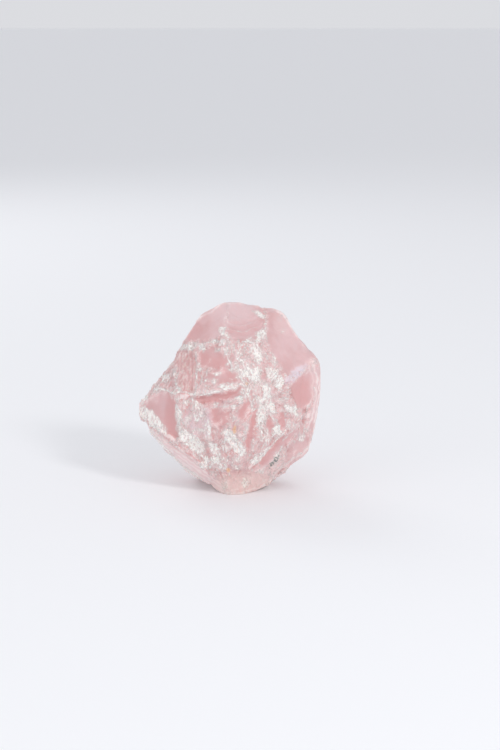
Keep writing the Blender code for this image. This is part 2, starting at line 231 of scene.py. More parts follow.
# How clean each face broke, from 0 to 1, and its outline as (across, up).
CALM = {
    "upper left face": (1.0, [
        (-23, 74), (-20, 79.5), (-16, 86.5), (-9, 89), (-4.5, 93), (-1.5, 93), (-1.8, 81),
        (-3, 76.5), (-9.5, 74.5), (-16, 73.5)]),
    "top bowl": (0.9, [
        (-1, 93), (4.5, 93), (12.5, 92.5), (16.5, 89), (17, 79), (15.5, 77), (11, 74.5), (6, 73.8),
        (1, 74.5), (-2.2, 77.5), (-1.3, 82)]),
    "right face": (1.0, [
        (18, 90.5), (27, 88.5), (33.5, 79), (43.5, 65.5), (40, 62.5), (33.5, 58), (29, 56),
        (26, 60), (21, 67), (18.5, 74), (18.5, 84)]),
    "oval on the right": (1.0, [
        (30, 52), (33.5, 54.5), (38.5, 59), (41.5, 58), (42, 50), (39.5, 43), (36.5, 39.5),
        (33.5, 41.5), (31, 47)]),
    "striated block": (0.6, [
        (-27, 66), (-24, 68.5), (-18, 68.5), (-17, 60), (-17.3, 49), (-21, 48.8), (-26, 49.5)]),
    "tongue": (1.0, [
        (-35, 47.5), (-31, 47.5), (-28, 45), (-26.6, 41), (-26, 28), (-27, 24), (-33.5, 28.5),
        (-40.5, 35), (-42, 40), (-40, 45)]),
    "middle face": (0.8, [
        (-15.5, 69), (-9.5, 70), (-3, 68), (0.5, 62), (0, 60.5), (-8, 60), (-15.5, 60.5)]),
    "second middle face": (0.8, [
        (-12, 55), (-7.5, 58.6), (-2, 60.6), (3, 58.5), (5, 56), (4.5, 53), (0, 52.2), (-4.5, 53),
        (-8.5, 51.3), (-12, 52)]),
    "recess under the ledge": (0.7, [
        (-25, 46), (-16, 45.5), (-6, 47), (3, 49), (6, 48.5), (2, 44.5), (-8, 43.5), (-16, 43)]),
    "lower right band": (0.8, [
        (31, 30), (33.5, 28), (27.5, 21), (21.5, 14), (16.5, 9), (12, 9), (16.5, 14),
        (23.5, 21.5)]),
    "toe": (0.4, [
        (2, 9), (7.5, 9.5), (16.5, 8), (20, 4), (13.5, -1), (2, -3), (-2, 0), (-1.5, 4)]),
    "lower left bevel": (0.9, [
        (-43, 33.5), (-40, 30.7), (-33, 24.8), (-27, 21.5), (-21.7, 17.7), (-16, 12.8), (-10, 6.5),
        (-5, 3), (-2, 0), (-2.5, -4), (-10, -1), (-22.5, 5), (-32.5, 14), (-41, 21), (-47, 32)]),
    "right rim": (0.7, [
        (40, 62), (42.5, 52), (41.5, 44), (38.7, 37), (38.5, 30), (44, 27), (46, 38), (47, 50),
        (46, 60)]),
    "lower right rim": (0.6, [
        (34, 27), (38.5, 28), (41.5, 19), (38, 15.5), (29, 10), (26.5, 11), (29, 20)]),
}

# Smooth shards that stand in the shattered zones.
SHARDS = [
    [(13.5, 39.5), (12.5, 32), (10.5, 24), (9, 17), (7.3, 16), (8, 23), (9.5, 31.5), (11, 38)],
    [(19, 36.8), (21, 35), (21.5, 31), (20.5, 28), (18.8, 29), (18, 33)],
    [(24.5, 38.5), (27, 37), (27.5, 32), (26, 28.5), (24.3, 32), (23.5, 36)],
    [(26.5, 27), (26, 23.5), (21, 18), (16, 13.5), (12.5, 10), (11, 10.5), (15, 14.5), (20, 20),
     (24, 25)],
    [(5.5, 42), (9.5, 43.5), (10.5, 40), (10, 36), (8, 33.5), (5, 34), (4, 38)],
    [(-10, 39.5), (-4, 40), (-0.5, 38), (-0.5, 33.5), (-4, 31), (-8.5, 31.5), (-10.5, 35)],
]

# Where the skin stands a little prouder: how far in millimetres, and an oval.
SWELL = [
    (1.9, (-27, 14, 16, 7, -42)), (0.5, (-42, 46, 5, 5, 0)), (0.5, (-12, 88, 6, 5, 30)),
    (0.7, (27, 85, 9, 5, -45)), (0.9, (45, 45, 7, 22, 0)), (0.4, (30, 11, 7, 5, 40)),
]

points = skin_points()
seen = across_up(points) + wander(points, 3.5, 3)[:, :2] * 0.5
broad = on_broad_face(points)
calm = np.zeros(len(points))
for amount, corners in CALM.values():
    calm = np.maximum(calm, amount * within(seen, corners, 0.9))
for corners in SHARDS:
    calm = np.maximum(calm, 0.7 * within(seen, corners, 0.7))
scars = np.zeros((3, len(points)))
off_front = points[:, 1] > 2.0
spread = points + wander(points, 6.0, 6) * 1.2
scars[:, off_front] = scoops(spread[off_front], 16.0, 61, (1, 1, 1.25))
healed = smoothstep(-0.3, 0.3, wander(points, 8.0, 5)[:, 0])
elsewhere = smoothstep(0.30, 0.31, scars[1]) * np.maximum(smoothstep(0.02, 0.06, scars[2]), healed)
calm = calm * broad + elsewhere * 0.95 * (1 - broad)
pairs = np.empty(len(stone.data.edges) * 2, np.int32)
stone.data.edges.foreach_get("vertices", pairs)
pairs = pairs.reshape(-1, 2)
ends = np.concatenate((pairs[:, 0], pairs[:, 1]))
others = np.concatenate((pairs[:, 1], pairs[:, 0]))
neighbours = np.bincount(ends, minlength=len(points))


def gathered(values, weights=1.0):
    """For each point, the sum over its neighbours of these values along the edges."""
    if values.ndim == 1:
        return np.bincount(ends, values * weights, len(points))
    return np.stack([gathered(values[:, axis], weights) for axis in range(3)], axis=1)


ALIKE = 0.10  # normals much further apart than this belong to different faces
flats = skin_normals()
for _ in range(9):
    apart = ((flats[ends] - flats[others]) ** 2).sum(axis=1)
    pull = np.exp(-apart / (2 * ALIKE**2))
    flats = flats + gathered(flats[others], pull)
    flats /= np.linalg.norm(flats, axis=1)[:, None]
planed = points.copy()
for _ in range(14):
    gap = ((planed[others] - planed[ends]) * (flats[ends] + flats[others])).sum(axis=1) / 2
    planed += flats * (gathered(gap) / neighbours)[:, None]
set_skin(points + (planed - points) * (0.6 + 0.4 * calm)[:, None])

# Where the stone shattered instead of splitting clean, its skin is a crust of small tilted chips.
# They run upright, but round the heart of the shattered zone they point away from it. Round scars
# that meet in ridges cover the sides and the back.
HEART = (15.0, 51.5)
AROUND = 16.0  # millimetres for each radian round the heart
GROOVED = [(-27, 67), (-17.5, 69), (-17, 48), (-26, 48.5)]
CHIP_SIZES = (  # grain, seed, length, and height where rough and everywhere
    (5.0, 26, 1.5, (0.44, 0.0)), (2.7, 21, 1.8, (0.32, 0.0)), (1.45, 22, 2.0, (0.17, 0.02)))
BOWL_MIDDLE = (6.5, 90.5)
points, normals = skin_points(), skin_normals()
bent = points + wander(points, 2.2, 8) * 0.6 + wander(points, 0.9, 9) * 0.2
rough = 1 - calm
foot_clear = smoothstep(0.2, 3.5, points[:, 2])
heart = np.array((HEART[0], 0.0, HEART[1]))
reach = np.linalg.norm((bent - heart)[:, ::2], axis=1)
round_heart = np.arctan2(bent[:, 2] - heart[2], -(bent[:, 0] - heart[0]))
rays = np.stack((round_heart * AROUND, bent[:, 1], reach), axis=1)
near_heart = smoothstep(26.0, 16.0, reach) * smoothstep(6.0, 10.0, reach) * broad
radial = near_heart > 0.5
behind = smoothstep(3.0, 10.0, points[:, 1])
depth = 0.05 * chips(bent, 6.0, 23)[0]
depth += 2.2 * behind * scars[0]
depth += 0.4 * (0.15 + 0.85 * behind * rough) * scoops(bent, 5.0, 62)[0]
chip_lots, chip_rims = [], []
for grain, seed, long, (rough_height, height) in CHIP_SIZES:
    chipped = np.empty((3, len(points)))
    chipped[:, ~radial] = chips(bent[~radial], grain, seed, (0.7, 1, long))
    chipped[:, radial] = chips(rays[radial], grain, seed + 3, (0.7, 1, long * 1.2))
    level, lot, rim = chipped
    depth += (height + rough_height * rough) * level
    chip_lots.append(lot)
    chip_rims.append(rim)
ring = np.linalg.norm(seen - np.array(BOWL_MIDDLE), axis=1)
in_bowl = within(seen, CALM["top bowl"][1], 1.5) * broad * smoothstep(4.0, 9.0, ring)
ripple = in_bowl * np.sin(ring * 2.3 + wander(points, 9.0, 31)[:, 0] * 1.8)
depth += 0.16 * ripple
bevel = within(seen, CALM["lower left bevel"][1], 0.35) * broad
depth += 0.75 * bevel
down_bevel = (seen @ np.array((0.6, 0.8))) * 4.2
depth += 0.08 * bevel * np.sin(down_bevel + wander(points, 6.0, 33)[:, 0])
streaks = within(seen, GROOVED, 1.2) * broad
depth += 0.16 * streaks * np.sin(points[:, 0] * 3.4 + wander(points, 5.0, 32)[:, 0] * 2.2)
settled = 0.25 + 0.9 * behind
lift = settled
for amount, oval in SWELL:
    swell = amount * patch(seen, *oval) * smoothstep(34.0, 14.0, points[:, 1])
    lift = np.maximum(lift, settled + swell)
moved = (lift - depth) * foot_clear
low, high = [(np.array(corner) - np.array(SHIFT)) * 1000 for corner in solid_box]
room = np.where(normals > 0, high - points, points - low) / np.maximum(np.abs(normals), 1e-3)
set_skin(points + normals * np.minimum(moved, 0.85 * room.min(axis=1))[:, None])

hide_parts("rose_quartz_chunk")
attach(stone, "root")

# Rose quartz is cloudy: frost lies where it shattered, cloudy white runs through the clean faces,
# and it looks deepest pink where a face is fresh and thick behind. Part of the cloudy white is
# painted light, shining through the thin rims, the bevel band and the toe and falling on the upper
# faces; part of the deepest pink is painted shade, under the ledge, beside the step on the tongue
# and along the inside of the bevel.
# Outlines of the thick frost as (across, up), each with its strength.
FROST_SHAPES = [
    (1.0, [(-5.5, 80.5), (-2, 80.8), (-2, 79.7), (-3.3, 79.3), (-2.8, 77.7), (-1, 77.3),
           (0.5, 75.5), (-1.3, 75.2), (-3.3, 76.5), (-4.8, 78), (-5, 79.2)]),
    (0.9, [(-24, 71.5), (-21.5, 72.2), (-18.5, 72), (-18.3, 70), (-21, 69.3), (-23.5, 69.5)]),
    (0.9, [(-17, 72.5), (-13, 72.3), (-12.3, 70.5), (-13, 68), (-14.5, 68.7), (-16, 70.2)]),
    (1.0, [(10.5, 70.5), (13.5, 71), (16, 68), (16.3, 63.5), (14.3, 61.5), (12, 63.5), (11.3, 67)]),
    (0.9, [(11.5, 88.5), (14, 88.7), (17, 86.3), (18.3, 84.7), (16, 85.2), (13, 87.2)]),
    (0.9, [(15.5, 80), (17.7, 79.7), (18, 77), (16.3, 74.5), (13.5, 73.2), (12.3, 74.2),
           (13.7, 77)]),
    (1.0, [(26.5, 41.5), (30, 41.3), (33.3, 40), (34, 35.5), (31.5, 36.8), (28.5, 38.3)]),
    (1.7, [(-4.5, 28.5), (-2, 28.7), (1, 25.5), (4, 23.5), (7, 19.5), (6.8, 16.7), (3.5, 17.7),
           (0, 21.5), (-2.5, 25)]),
    (1.2, [(-10.5, 23.5), (-8, 22.5), (-5, 19.5), (-4.3, 16.5), (-7.5, 16), (-9.7, 18)]),
    (0.85, [(11.5, 45.5), (16, 46.5), (20, 45.5), (22, 42), (23, 38), (21, 37), (19, 38), (17, 36),
            (16, 31.5), (17.5, 28.5), (16, 27), (14, 30), (13, 34), (13, 39), (14, 42)]),
    (1.0, [(22, 55), (25, 56), (27, 54), (26.7, 50), (24.5, 49), (22.5, 51)]),
    (1.0, [(16, 51), (19, 52), (21, 49.5), (20.5, 44.5), (18, 44), (16.3, 47)]),
    (0.9, [(7.7, 48), (10.5, 47.7), (10.3, 44.5), (8, 44.7)]),
    (1.0, [(3.3, 45), (5, 45.7), (7, 45), (6.7, 42.7), (4.3, 42.5)]),
    (0.75, [(9.5, 12), (11, 15), (14.5, 18), (18, 20), (20, 19), (18, 16), (14, 12.5),
            (11.5, 10.5)]),
    (0.75, [(19.5, 11), (21.5, 16), (24.5, 20.5), (26.5, 21.7), (25.5, 18), (23, 13.5),
            (20.7, 10.5)]),
    (1.2, [(-45.5, 39), (-43.5, 41.7), (-41, 39.5), (-38.5, 38.5), (-36.5, 35), (-33, 32),
            (-31.5, 28.5), (-32.3, 27), (-36, 28.5), (-40, 31.7), (-43.5, 34.5)]),
    (1.25, [(-26, 28.5), (-22.5, 28.7), (-17.5, 26.5), (-14, 22.5), (-12.7, 18.5), (-16.5, 17.5),
            (-21.5, 21), (-25, 24.5)]),
    (0.7, [(-14.5, 16.5), (-11, 16), (-8.5, 13.5), (-9.5, 11), (-13, 12.7)]),
    (0.95, [(5, 58.5), (8, 60.5), (11, 59.5), (14, 60.7), (16.5, 59.5), (16, 56), (13, 53.5),
            (9.5, 54.5), (6.5, 55)]),
    (0.9, [(17, 60), (20, 61.3), (23.5, 59), (24.5, 55.5), (21.5, 53.5), (18.5, 55)]),
]
# Ovals of thinner frost: across, up, width, height, turn and strength, as in the lists below.
FROST = [
    (-6, 73, 3.4, 1.4, 0, 0.6), (-5.2, 69, 2.5, 1.2, 0, 0.4), (-6.5, 57.2, 2.4, 0.9, 8, 0.8),
    (-9.2, 53.7, 2.8, 1.2, 0, 0.6), (-4, 50.2, 7.0, 1.8, 12, 0.55), (-32, 55, 1.9, 2.0, 0, 0.8),
    (-27, 48.5, 2.1, 2.2, 0, 0.8), (-43, 45.8, 1.8, 2.2, 0, 0.8), (-36.5, 50, 2.4, 2.2, 40, 0.5),
    (-15.7, 61, 1.0, 2.6, 0, 0.7), (-27, 56, 1.2, 4.5, 5, 0.45), (26.5, 78.5, 1.3, 1.4, 0, 0.4),
    (26.5, 86, 2.4, 2.6, 0, 0.3), (17.8, 82, 0.6, 0.6, 0, 0.9), (11, 74.5, 3.4, 1.1, 30, 0.6),
    (4, 68, 7, 6, 0, 0.35), (4, 61, 5, 4, 0, 0.45), (8, 2.5, 1.5, 2.4, 0, 0.5),
    (-2.5, 0.8, 1.4, 2.2, 0, 0.6), (15.5, 8.5, 2.2, 1.2, 20, 0.45), (8.5, 50, 4.5, 4.2, 0, 0.45),
    (20.5, 63.5, 3, 3.6, 0, 0.45), (14, 55, 12, 9, 0, 0.35), (14, 42, 7, 9, 0, 0.4),
    (1.2, 51, 4, 1.4, 0, 0.6), (-25.7, 37, 1.4, 8, 0, 0.7),
    (-23, 42.7, 3.4, 1.3, 0, 0.7), (-20.5, 34.7, 1.8, 1.6, 0, 0.6), (-16.5, 28.5, 3, 1.5, 0, 0.5),
    (-7.5, 14, 3.6, 1.7, 0, 0.8), (-12, 11.5, 3, 2, 0, 0.7), (-10.2, 46, 1.2, 1.1, 0, 1.1),
    (-2.5, 41.7, 1.1, 1.0, 0, 0.9), (-15, 38, 4, 4, 0, 0.4), (-17.5, 43, 3, 2, 0, 0.5),
    (1.9, 40.7, 0.9, 1.7, 0, 0.95), (9, 46.5, 2, 1.4, 0, 0.7), (17.5, 36.5, 5.2, 6, 0, 0.4),
    (29, 31.5, 2.4, 2.4, 0, 0.5), (34.7, 25.5, 3.2, 2.6, 35, 0.4), (18.5, 26.5, 4.2, 3.2, 0, 0.5),
    (1, 14, 5, 2.4, 0, 0.6), (-3, 21, 2.6, 3, 0, 0.5), (26.5, 46, 3, 3, 0, 0.4),
    (8, 27, 2, 5, 0, 0.45), (-1, 11, 6, 2, 0, 0.45), (-11, 30.5, 1.3, 3.2, 0, 0.65),
    (23.5, 28.3, 2.0, 2.4, 0, 0.9), (-21, 70.5, 5, 1.6, 0, 0.6), (-16, 36, 2.4, 2, 0, 0.6),
]
# Frosted lines: half width, strength and corners. The highlight lines are the same, but pale and
# smooth: painted highlights along the rims, the bevel and the edges of the toe's facets.
SEAMS = [
    (0.55, 0.95, [(-35.5, 49.5), (-31.5, 49), (-27.7, 47.2), (-23, 48), (-18.8, 47), (-15, 46.7),
                  (-10.5, 47.2), (-7.3, 48.1), (-2.8, 49.4), (2.5, 50.5), (6.5, 52.5)]),
    (0.5, 1.1, [(-2.8, 69.8), (-1, 65), (1.1, 60.1)]),
    (0.4, 0.8, [(-2, 71.5), (-0.2, 65.5)]),
    (0.45, 0.9, [(17.7, 80), (18, 77.5), (16, 74.5), (12, 72.8), (6, 72.8)]),
    (0.6, 0.85, [(18.9, 37.4), (22.8, 34.3), (25, 29.9), (25.5, 27), (22.8, 24.9)]),
    (0.45, 0.7, [(-17, 68), (-16.7, 58), (-17.2, 47)]),
    (0.45, 0.7, [(-23.5, 72), (-19, 73), (-15.5, 71.7), (-12.5, 72.5), (-8, 73.2), (-1, 74)]),
    (0.4, 0.6, [(-28.5, 60), (-27, 55), (-26, 48)]),
    (0.5, 0.8, [(30.5, 31.5), (25.5, 26.5), (19, 19), (12.5, 11.5)]),
    (0.45, 0.85, [(-26.7, 44.5), (-26, 36.5), (-25.2, 28)]),
    (0.4, 0.5, [(26, 23.5), (30.5, 28), (36, 35), (39, 40)]),
    (0.8, 0.9, [(-41.5, 29.5), (-37.5, 25), (-30.9, 18.2), (-25.4, 12.3), (-20.8, 8.8),
                (-14.7, 4.9)]),
    (0.35, 0.7, [(-40, 30), (-36.5, 25.7), (-33, 22.3)]),
    (0.6, 0.45, [(19, 2.9), (21, 6.4), (24.2, 9.8), (29, 13), (31.7, 15.2), (36.5, 18),
                 (38.9, 20.8)]),
    (0.35, 0.4, [(12.5, 16), (14.5, 12), (16, 9), (19.5, 2.5)]),
    (0.4, 0.35, [(42.6, 51), (41.9, 43), (39.8, 35)]),
    (2.3, 1.3, [(-2, 28), (1.3, 25), (4.3, 21), (6, 17.8)]),
    (0.6, 0.6, [(-2.2, 80.5), (-3.8, 79), (-3.2, 77), (-1, 75.6)]),
]
# Painted highlights along the rims, the bevel and the toe's facet edges.
HIGHLIGHT_LINES = [
    (0.9, 1.0, [(-46, 33), (-40, 27.5), (-38.3, 25.7), (-31.6, 18.5), (-26.1, 11.8), (-21.7, 8.5),
                (-15.5, 4.3), (-7, 0), (-2, -2.5)]),
    (0.5, 0.8, [(-42.5, 31.5), (-38, 26.8), (-32, 21.5)]),
    (0.4, 0.5, [(-35, 23), (-26, 16.5), (-17, 9.8), (-9, 4)]),
    (0.7, 1.0, [(41, 64), (43.7, 54), (42.8, 44), (41, 35), (38, 28)]),
    (0.5, 1.0, [(45, 56), (44.6, 46), (43.2, 38), (41.5, 28), (39.3, 20)]),
    (0.45, 0.8, [(39.5, 60.5), (41.8, 53), (41, 45), (38.6, 36)]),
    (0.9, 0.9, [(19, 2.5), (21.3, 6), (24.5, 9.3), (29.3, 12.4), (32, 14.8), (36.8, 17.5),
                (39.3, 20.3)]),
    (0.8, 1.0, [(-9.5, 1.6), (-4, -2), (3.3, -3), (10, -1), (18.3, 1.4), (23.3, 6.2)]),
    (0.5, 0.8, [(12.8, 8), (16, 4), (19.5, 1.2)]),
    (0.5, 0.7, [(16, 4), (18.3, 8), (20.5, 10)]),
    (0.4, 0.6, [(12.5, 16), (14.5, 12), (16, 9), (19.5, 2)]),
    (0.35, 0.5, [(5, 11), (8, 13), (12.5, 13), (16, 9)]),
    (0.35, 0.5, [(5, 11), (3, 6), (4, 1), (8, -1)]),
]
# Pale patches: painted light on the thin rims, the bevel band and the bottom edge, where light
# catches and shines through, and pale spots on the toe.
PALE = [
    (10, 1, 15, 6, 10, 0.6), (-8, 0, 8, 3.5, -20, 0.8),
    (43.5, 44, 3.4, 20, 0, 0.2), (34, 14, 9, 5, 45, 0.4), (-39.5, 26, 6, 2, -42, 0.6),
    (8, 2.5, 2.4, 3, 0, 0.9), (-2.5, 1, 2.4, 2.6, 0, 1.0), (15, 9, 3, 2, 20, 0.8),
    (22, 10, 7, 3, 50, 0.8), (26.5, 83, 4, 6, 0, 0.3),
]
# Cloudy white patches, partly the stone's own clouds and partly painted light: light shining
# through the thin rims, the bevel band and the toe, and falling on the upper faces.
MILK_AND_LIGHT = [
    (3, 88, 10, 6, 0, 0.9), (30, 71.5, 11, 16, 35, 0.5), (33.5, 57.5, 5.5, 2.2, 35, 1.0),
    (29, 54, 2.6, 2, 0, 0.7), (10, 2, 12, 6, 0, 0.7), (36, 22, 6, 8, 0, 0.4),
    (-36, 24, 9, 2.5, -38, 1.0), (-22, 13, 9, 3, -38, 1.0), (-8, 3, 8, 3, -30, 0.9),
    (43.5, 45, 2.6, 16, 3, 0.6), (-6, 82, 4, 8, 0, 0.5),
    (-10, 68.5, 5, 2.5, -20, 0.3),
]
# Deeper pink patches: fresh, thick faces and salmon shards, and painted shade beside the step on
# the tongue and in the recess at the end of the ledge.
DEEP_PINK_AND_SHADE = [
    (-24.5, 45.5, 4.4, 1.3, 0, 0.8), (-29, 34, 3, 11, 0, 0.8), (35, 49, 6.5, 9, 0, 0.6),
    (11.5, 32.5, 1.6, 7, 15, 1.0), (8.2, 21.5, 1.4, 5, -15, 1.0), (7.5, 38.5, 2.8, 4.5, 0, 0.8),
    (19.5, 33.5, 1.6, 2.8, 0, 0.7), (25.2, 34, 1.8, 4.5, 0, 0.7), (23, 23, 1.6, 6, -38, 0.7),
    (12, 8, 3.6, 2.6, 0, 0.8), (4, 10, 2, 3, 0, 0.6), (19.5, 8.5, 1.6, 3, -20, 0.6),
    (16.5, 14, 1.6, 5, -45, 0.7), (-10, 63, 7.5, 5.5, 0, 0.6), (2, 56.5, 2.8, 2.6, 0, 0.7),
    (-20, 79, 5, 6, 0, 0.5), (36, 19, 3, 3.5, 0, 0.5), (-7.5, 36.5, 4.5, 5, 0, 0.5),
]
# Outlines of the painted shadow under the overhanging ledge and at its end, and the line of painted
# shade along the inside of the bevel.
UNDER_LEDGE = [(-18.5, 44.4), (-15.5, 46.2), (-12, 46.2), (-7.5, 47), (1, 48.9), (7, 50),
               (0, 45), (-10.5, 41.7), (-15, 42.4)]
LEDGE_END = [(-27.3, 47), (-25, 48.3), (-21, 47.3), (-19.5, 45.6), (-23, 45.2)]
BEVEL_LINE = [(-33, 25.2), (-26.5, 21.8), (-19, 15.9), (-15, 12.8), (-8, 5.5)]

points, normals = skin_points(), skin_normals()
ridge = ((points - gathered(points[others]) / neighbours[:, None]) * normals).sum(axis=1)
for _ in range(2):
    ridge = gathered(ridge[others]) / neighbours
wide_ridge = ridge
for _ in range(12):
    wide_ridge = gathered(wide_ridge[others]) / neighbours

seen = across_up(points) + wander(points, 2.4, 4)[:, :2] * 0.45
broad = on_broad_face(points)
frost = 0.24 * (1 - calm)
for strength, corners in FROST_SHAPES:
    frost = np.maximum(frost, strength * within(seen, corners, 1.2))
for across, up, wide, high, turn, strength in FROST:
    frost = np.maximum(frost, strength * patch(seen, across, up, wide, high, turn))
streaks = within(seen, GROOVED, 1.2) * broad
frost = np.maximum(frost - 0.1 * streaks, 0)
clouds = wander(points, 9.0, 41)[:, 0] + 0.5 * wander(points, 4.0, 42)[:, 1]
_, bed, bed_rim = chips(points + wander(points, 3.0, 46) * 1.2, 6.5, 72, (1, 1, 1.5))
bruised = smoothstep(0.005, 0.02, wide_ridge) * smoothstep(-0.6, 0.2, clouds)
around = (1 - calm) * (0.27 + 0.65 * smoothstep(0.52, 0.54, bed) * smoothstep(0.0, 0.1, bed_rim))
around = np.maximum(around, 0.75 * bruised * smoothstep(0.25, 0.35, bed))
frost = frost * broad + (1 - broad) * around
shattered = smoothstep(0.12, 0.4, frost)
frost += shattered * (0.42 * (chip_lots[1] - 0.5) + 0.30 * (chip_lots[2] - 0.5)
                      + 0.36 * (chip_lots[0] - 0.5))
frost += 0.25 * shattered * smoothstep(0.16, 0.04, chip_rims[1])
bare = np.zeros(len(points))
for corners in SHARDS:
    bare = np.maximum(bare, within(seen, corners, 0.4))
# Painted shadow under the overhanging ledge and at its end, with most of the frost kept off it.
lens = within(seen, UNDER_LEDGE, 0.4)
wedge = within(seen, LEDGE_END, 0.3)
lens = np.maximum(lens, wedge)
frost *= 1 - 0.85 * np.maximum(bare, lens) * broad
for half, strength, corners in SEAMS:
    frost = np.maximum(frost, strength * broad * seam(seen, corners, half))
# White lines on the ripple crests in the top bowl: frost along the ridges, partly painted
# highlight.
frost = np.maximum(frost, 0.45 * smoothstep(0.75, 0.98, -ripple) * smoothstep(-0.2, 0.4, clouds))
# Cloudy white: the patches above on the broad face, partly painted light, and random clouds on the
# sides and back.
milk_and_light = np.zeros(len(points))
for across, up, wide, high, turn, strength in MILK_AND_LIGHT:
    milk_and_light = np.maximum(milk_and_light, strength * patch(seen, across, up, wide, high, turn))
drift = wander(points, 14.0, 43)[:, 0] + 0.4 * wander(points, 6.0, 44)[:, 0]
drift += 0.5 * wander(points, 2.6, 45)[:, 0]
milk_and_light = milk_and_light * broad + 0.7 * (1 - broad) * smoothstep(-0.2, 1.1, drift)
# Deeper pink: the patches above, salmon shards, the painted shadow under the ledge, the painted
# shade line inside the bevel, and random tone on the sides and back.
deep_pink_and_shade = np.zeros(len(points))
for across, up, wide, high, turn, strength in DEEP_PINK_AND_SHADE:
    deep_pink_and_shade = np.maximum(deep_pink_and_shade, strength * patch(seen, across, up, wide, high, turn))
deep_pink_and_shade = np.maximum(deep_pink_and_shade, 0.8 * (1 - calm) * smoothstep(0.55, 0.75, chip_lots[0]))
deep_pink_and_shade = np.maximum(deep_pink_and_shade, 0.75 * bare)
# The line of painted shade along the inside of the bevel.
inner_line = seam(seen, BEVEL_LINE, 0.7) * broad
deep_pink_and_shade = np.maximum(deep_pink_and_shade, inner_line)
deep_pink_and_shade = np.maximum(deep_pink_and_shade, 0.8 * lens)
deep_pink_and_shade = deep_pink_and_shade * broad + 0.7 * (1 - broad) * smoothstep(0.0, 1.1, -drift)
lilac = np.maximum(patch(seen, 33.3, 57.3, 5.0, 1.9, 41), patch(seen, -11.5, 30.5, 1.7, 4.2, 0))
lilac = np.maximum(lilac, 0.7 * patch(seen, 29, 54, 2.6, 1.6, 20))
lilac = np.maximum(lilac, 0.45 * patch(seen, -16, 34, 6, 6, 0)) * broad
rust = np.maximum(patch(seen, 2.4, 29.2, 0.7, 1.7, 0), patch(seen, -0.9, 8.6, 0.7, 1.1, 0))
rust = np.maximum(rust, 0.5 * patch(seen, 8.5, 52, 0.8, 0.8, 0))
rust = np.maximum(rust, 0.16 * patch(seen, 7, 1, 13, 6, 0)) * broad
soot = patch(seen, 22, 13.2, 1.3, 4.2, -38) * broad
# Painted highlights: lighter along convex ridges and along the highlight lines and pale patches,
# but not on the line of painted shade inside the bevel.
edge = smoothstep(0.012, 0.06, ridge) + smoothstep(0.006, 0.02, wide_ridge)
for half, strength, corners in HIGHLIGHT_LINES:
    edge = np.maximum(edge, strength * broad * seam(seen, corners, half))
for across, up, wide, high, turn, strength in PALE:
    edge = np.maximum(edge, strength * broad * patch(seen, across, up, wide, high, turn))
# The lower left bevel band is painted lighter: painted light on a face turned down and away from
# the lamp.
ribbon = within(seen, CALM["lower left bevel"][1], 0.3) * broad
down_bevel = (seen @ np.array((0.6, 0.8))) * 4.2
edge = np.maximum(edge, ribbon * (0.8 + 0.25 * np.sin(down_bevel + clouds)))
edge *= 1 - 0.9 * inner_line
# Painted shade in the concave creases.
crease_shade = smoothstep(-0.012, -0.06, ridge)
for name, values in (("edge", edge), ("crease_shade", crease_shade), ("frost", frost), ("milk_and_light", milk_and_light),
                     ("deep_pink_and_shade", deep_pink_and_shade), ("lilac", lilac), ("rust", rust), ("soot", soot),
                     ("calm", calm), ("streaks", streaks)):
    keep_on_skin(name, values)
MOST_TRIANGLES = 188_000
fewer = stone.modifiers.new("fewer", "DECIMATE")
fewer.ratio = min(1.0, MOST_TRIANGLES / (2 * len(stone.data.polygons)))
bpy.ops.object.modifier_apply(modifier=fewer.name)
bpy.ops.object.shade_smooth_by_angle(angle=math.radians(30))

quartz = bpy.data.materials.new("rose quartz")
quartz.use_nodes = True
nodes, links = quartz.node_tree.nodes, quartz.node_tree.links
shader = nodes["Principled BSDF"]


def skin_value(name):
    """One of the values that were kept on the skin."""
    node = nodes.new("ShaderNodeAttribute")
    node.attribute_name = name
    return node.outputs["Fac"]


def feed(socket, value):
    if isinstance(value, bpy.types.NodeSocket):
        links.new(value, socket)
    else:
        socket.default_value = value


def sum_of(operation, first, second=0.0, third=0.0):
    """One step of arithmetic on numbers or on what other nodes give."""
    node = nodes.new("ShaderNodeMath")
    node.operation = operation
    for socket, value in zip(node.inputs, (first, second, third)):
        feed(socket, value)
    return node.outputs[0]


def ramp(value, low, high, to_low=0.0, to_high=1.0):
    """A smooth step between two values of what comes in, low and high."""
    node = nodes.new("ShaderNodeMapRange")
    node.interpolation_type = "SMOOTHSTEP"
    feed(node.inputs["Value"], value)
    node.inputs["From Min"].default_value = low
    node.inputs["From Max"].default_value = high
    node.inputs["To Min"].default_value = to_low
    node.inputs["To Max"].default_value = to_high
    return node.outputs["Result"]


def blend(share, below, above):
    node = nodes.new("ShaderNodeMix")
    node.data_type = "RGBA"
    feed(node.inputs[0], share)
    feed(node.inputs[6], below)
    feed(node.inputs[7], above)
    return node.outputs[2]


def noise_at(place, per_metre, detail, roughness, distortion=0.0):
    node = nodes.new("ShaderNodeTexNoise")
    node.inputs["Scale"].default_value = per_metre
    node.inputs["Detail"].default_value = detail
    node.inputs["Roughness"].default_value = roughness
    node.inputs["Distortion"].default_value = distortion
    links.new(place, node.inputs["Vector"])
    return node.outputs["Fac"]


def grain(per_metre, detail, roughness, stretch=(1, 1, 1), distortion=0.0):
    """A noise all through the stone, with these numbers of waves to a metre along each axis."""
    place = nodes.new("ShaderNodeTexCoord")
    squeeze = nodes.new("ShaderNodeMapping")
    squeeze.inputs["Scale"].default_value = stretch
    links.new(place.outputs["Object"], squeeze.inputs["Vector"])
    return noise_at(squeeze.outputs["Vector"], per_metre, detail, roughness, distortion)


RAYED = (8.0, 22.0)  # millimetres from the heart, between which the flecks point away from it


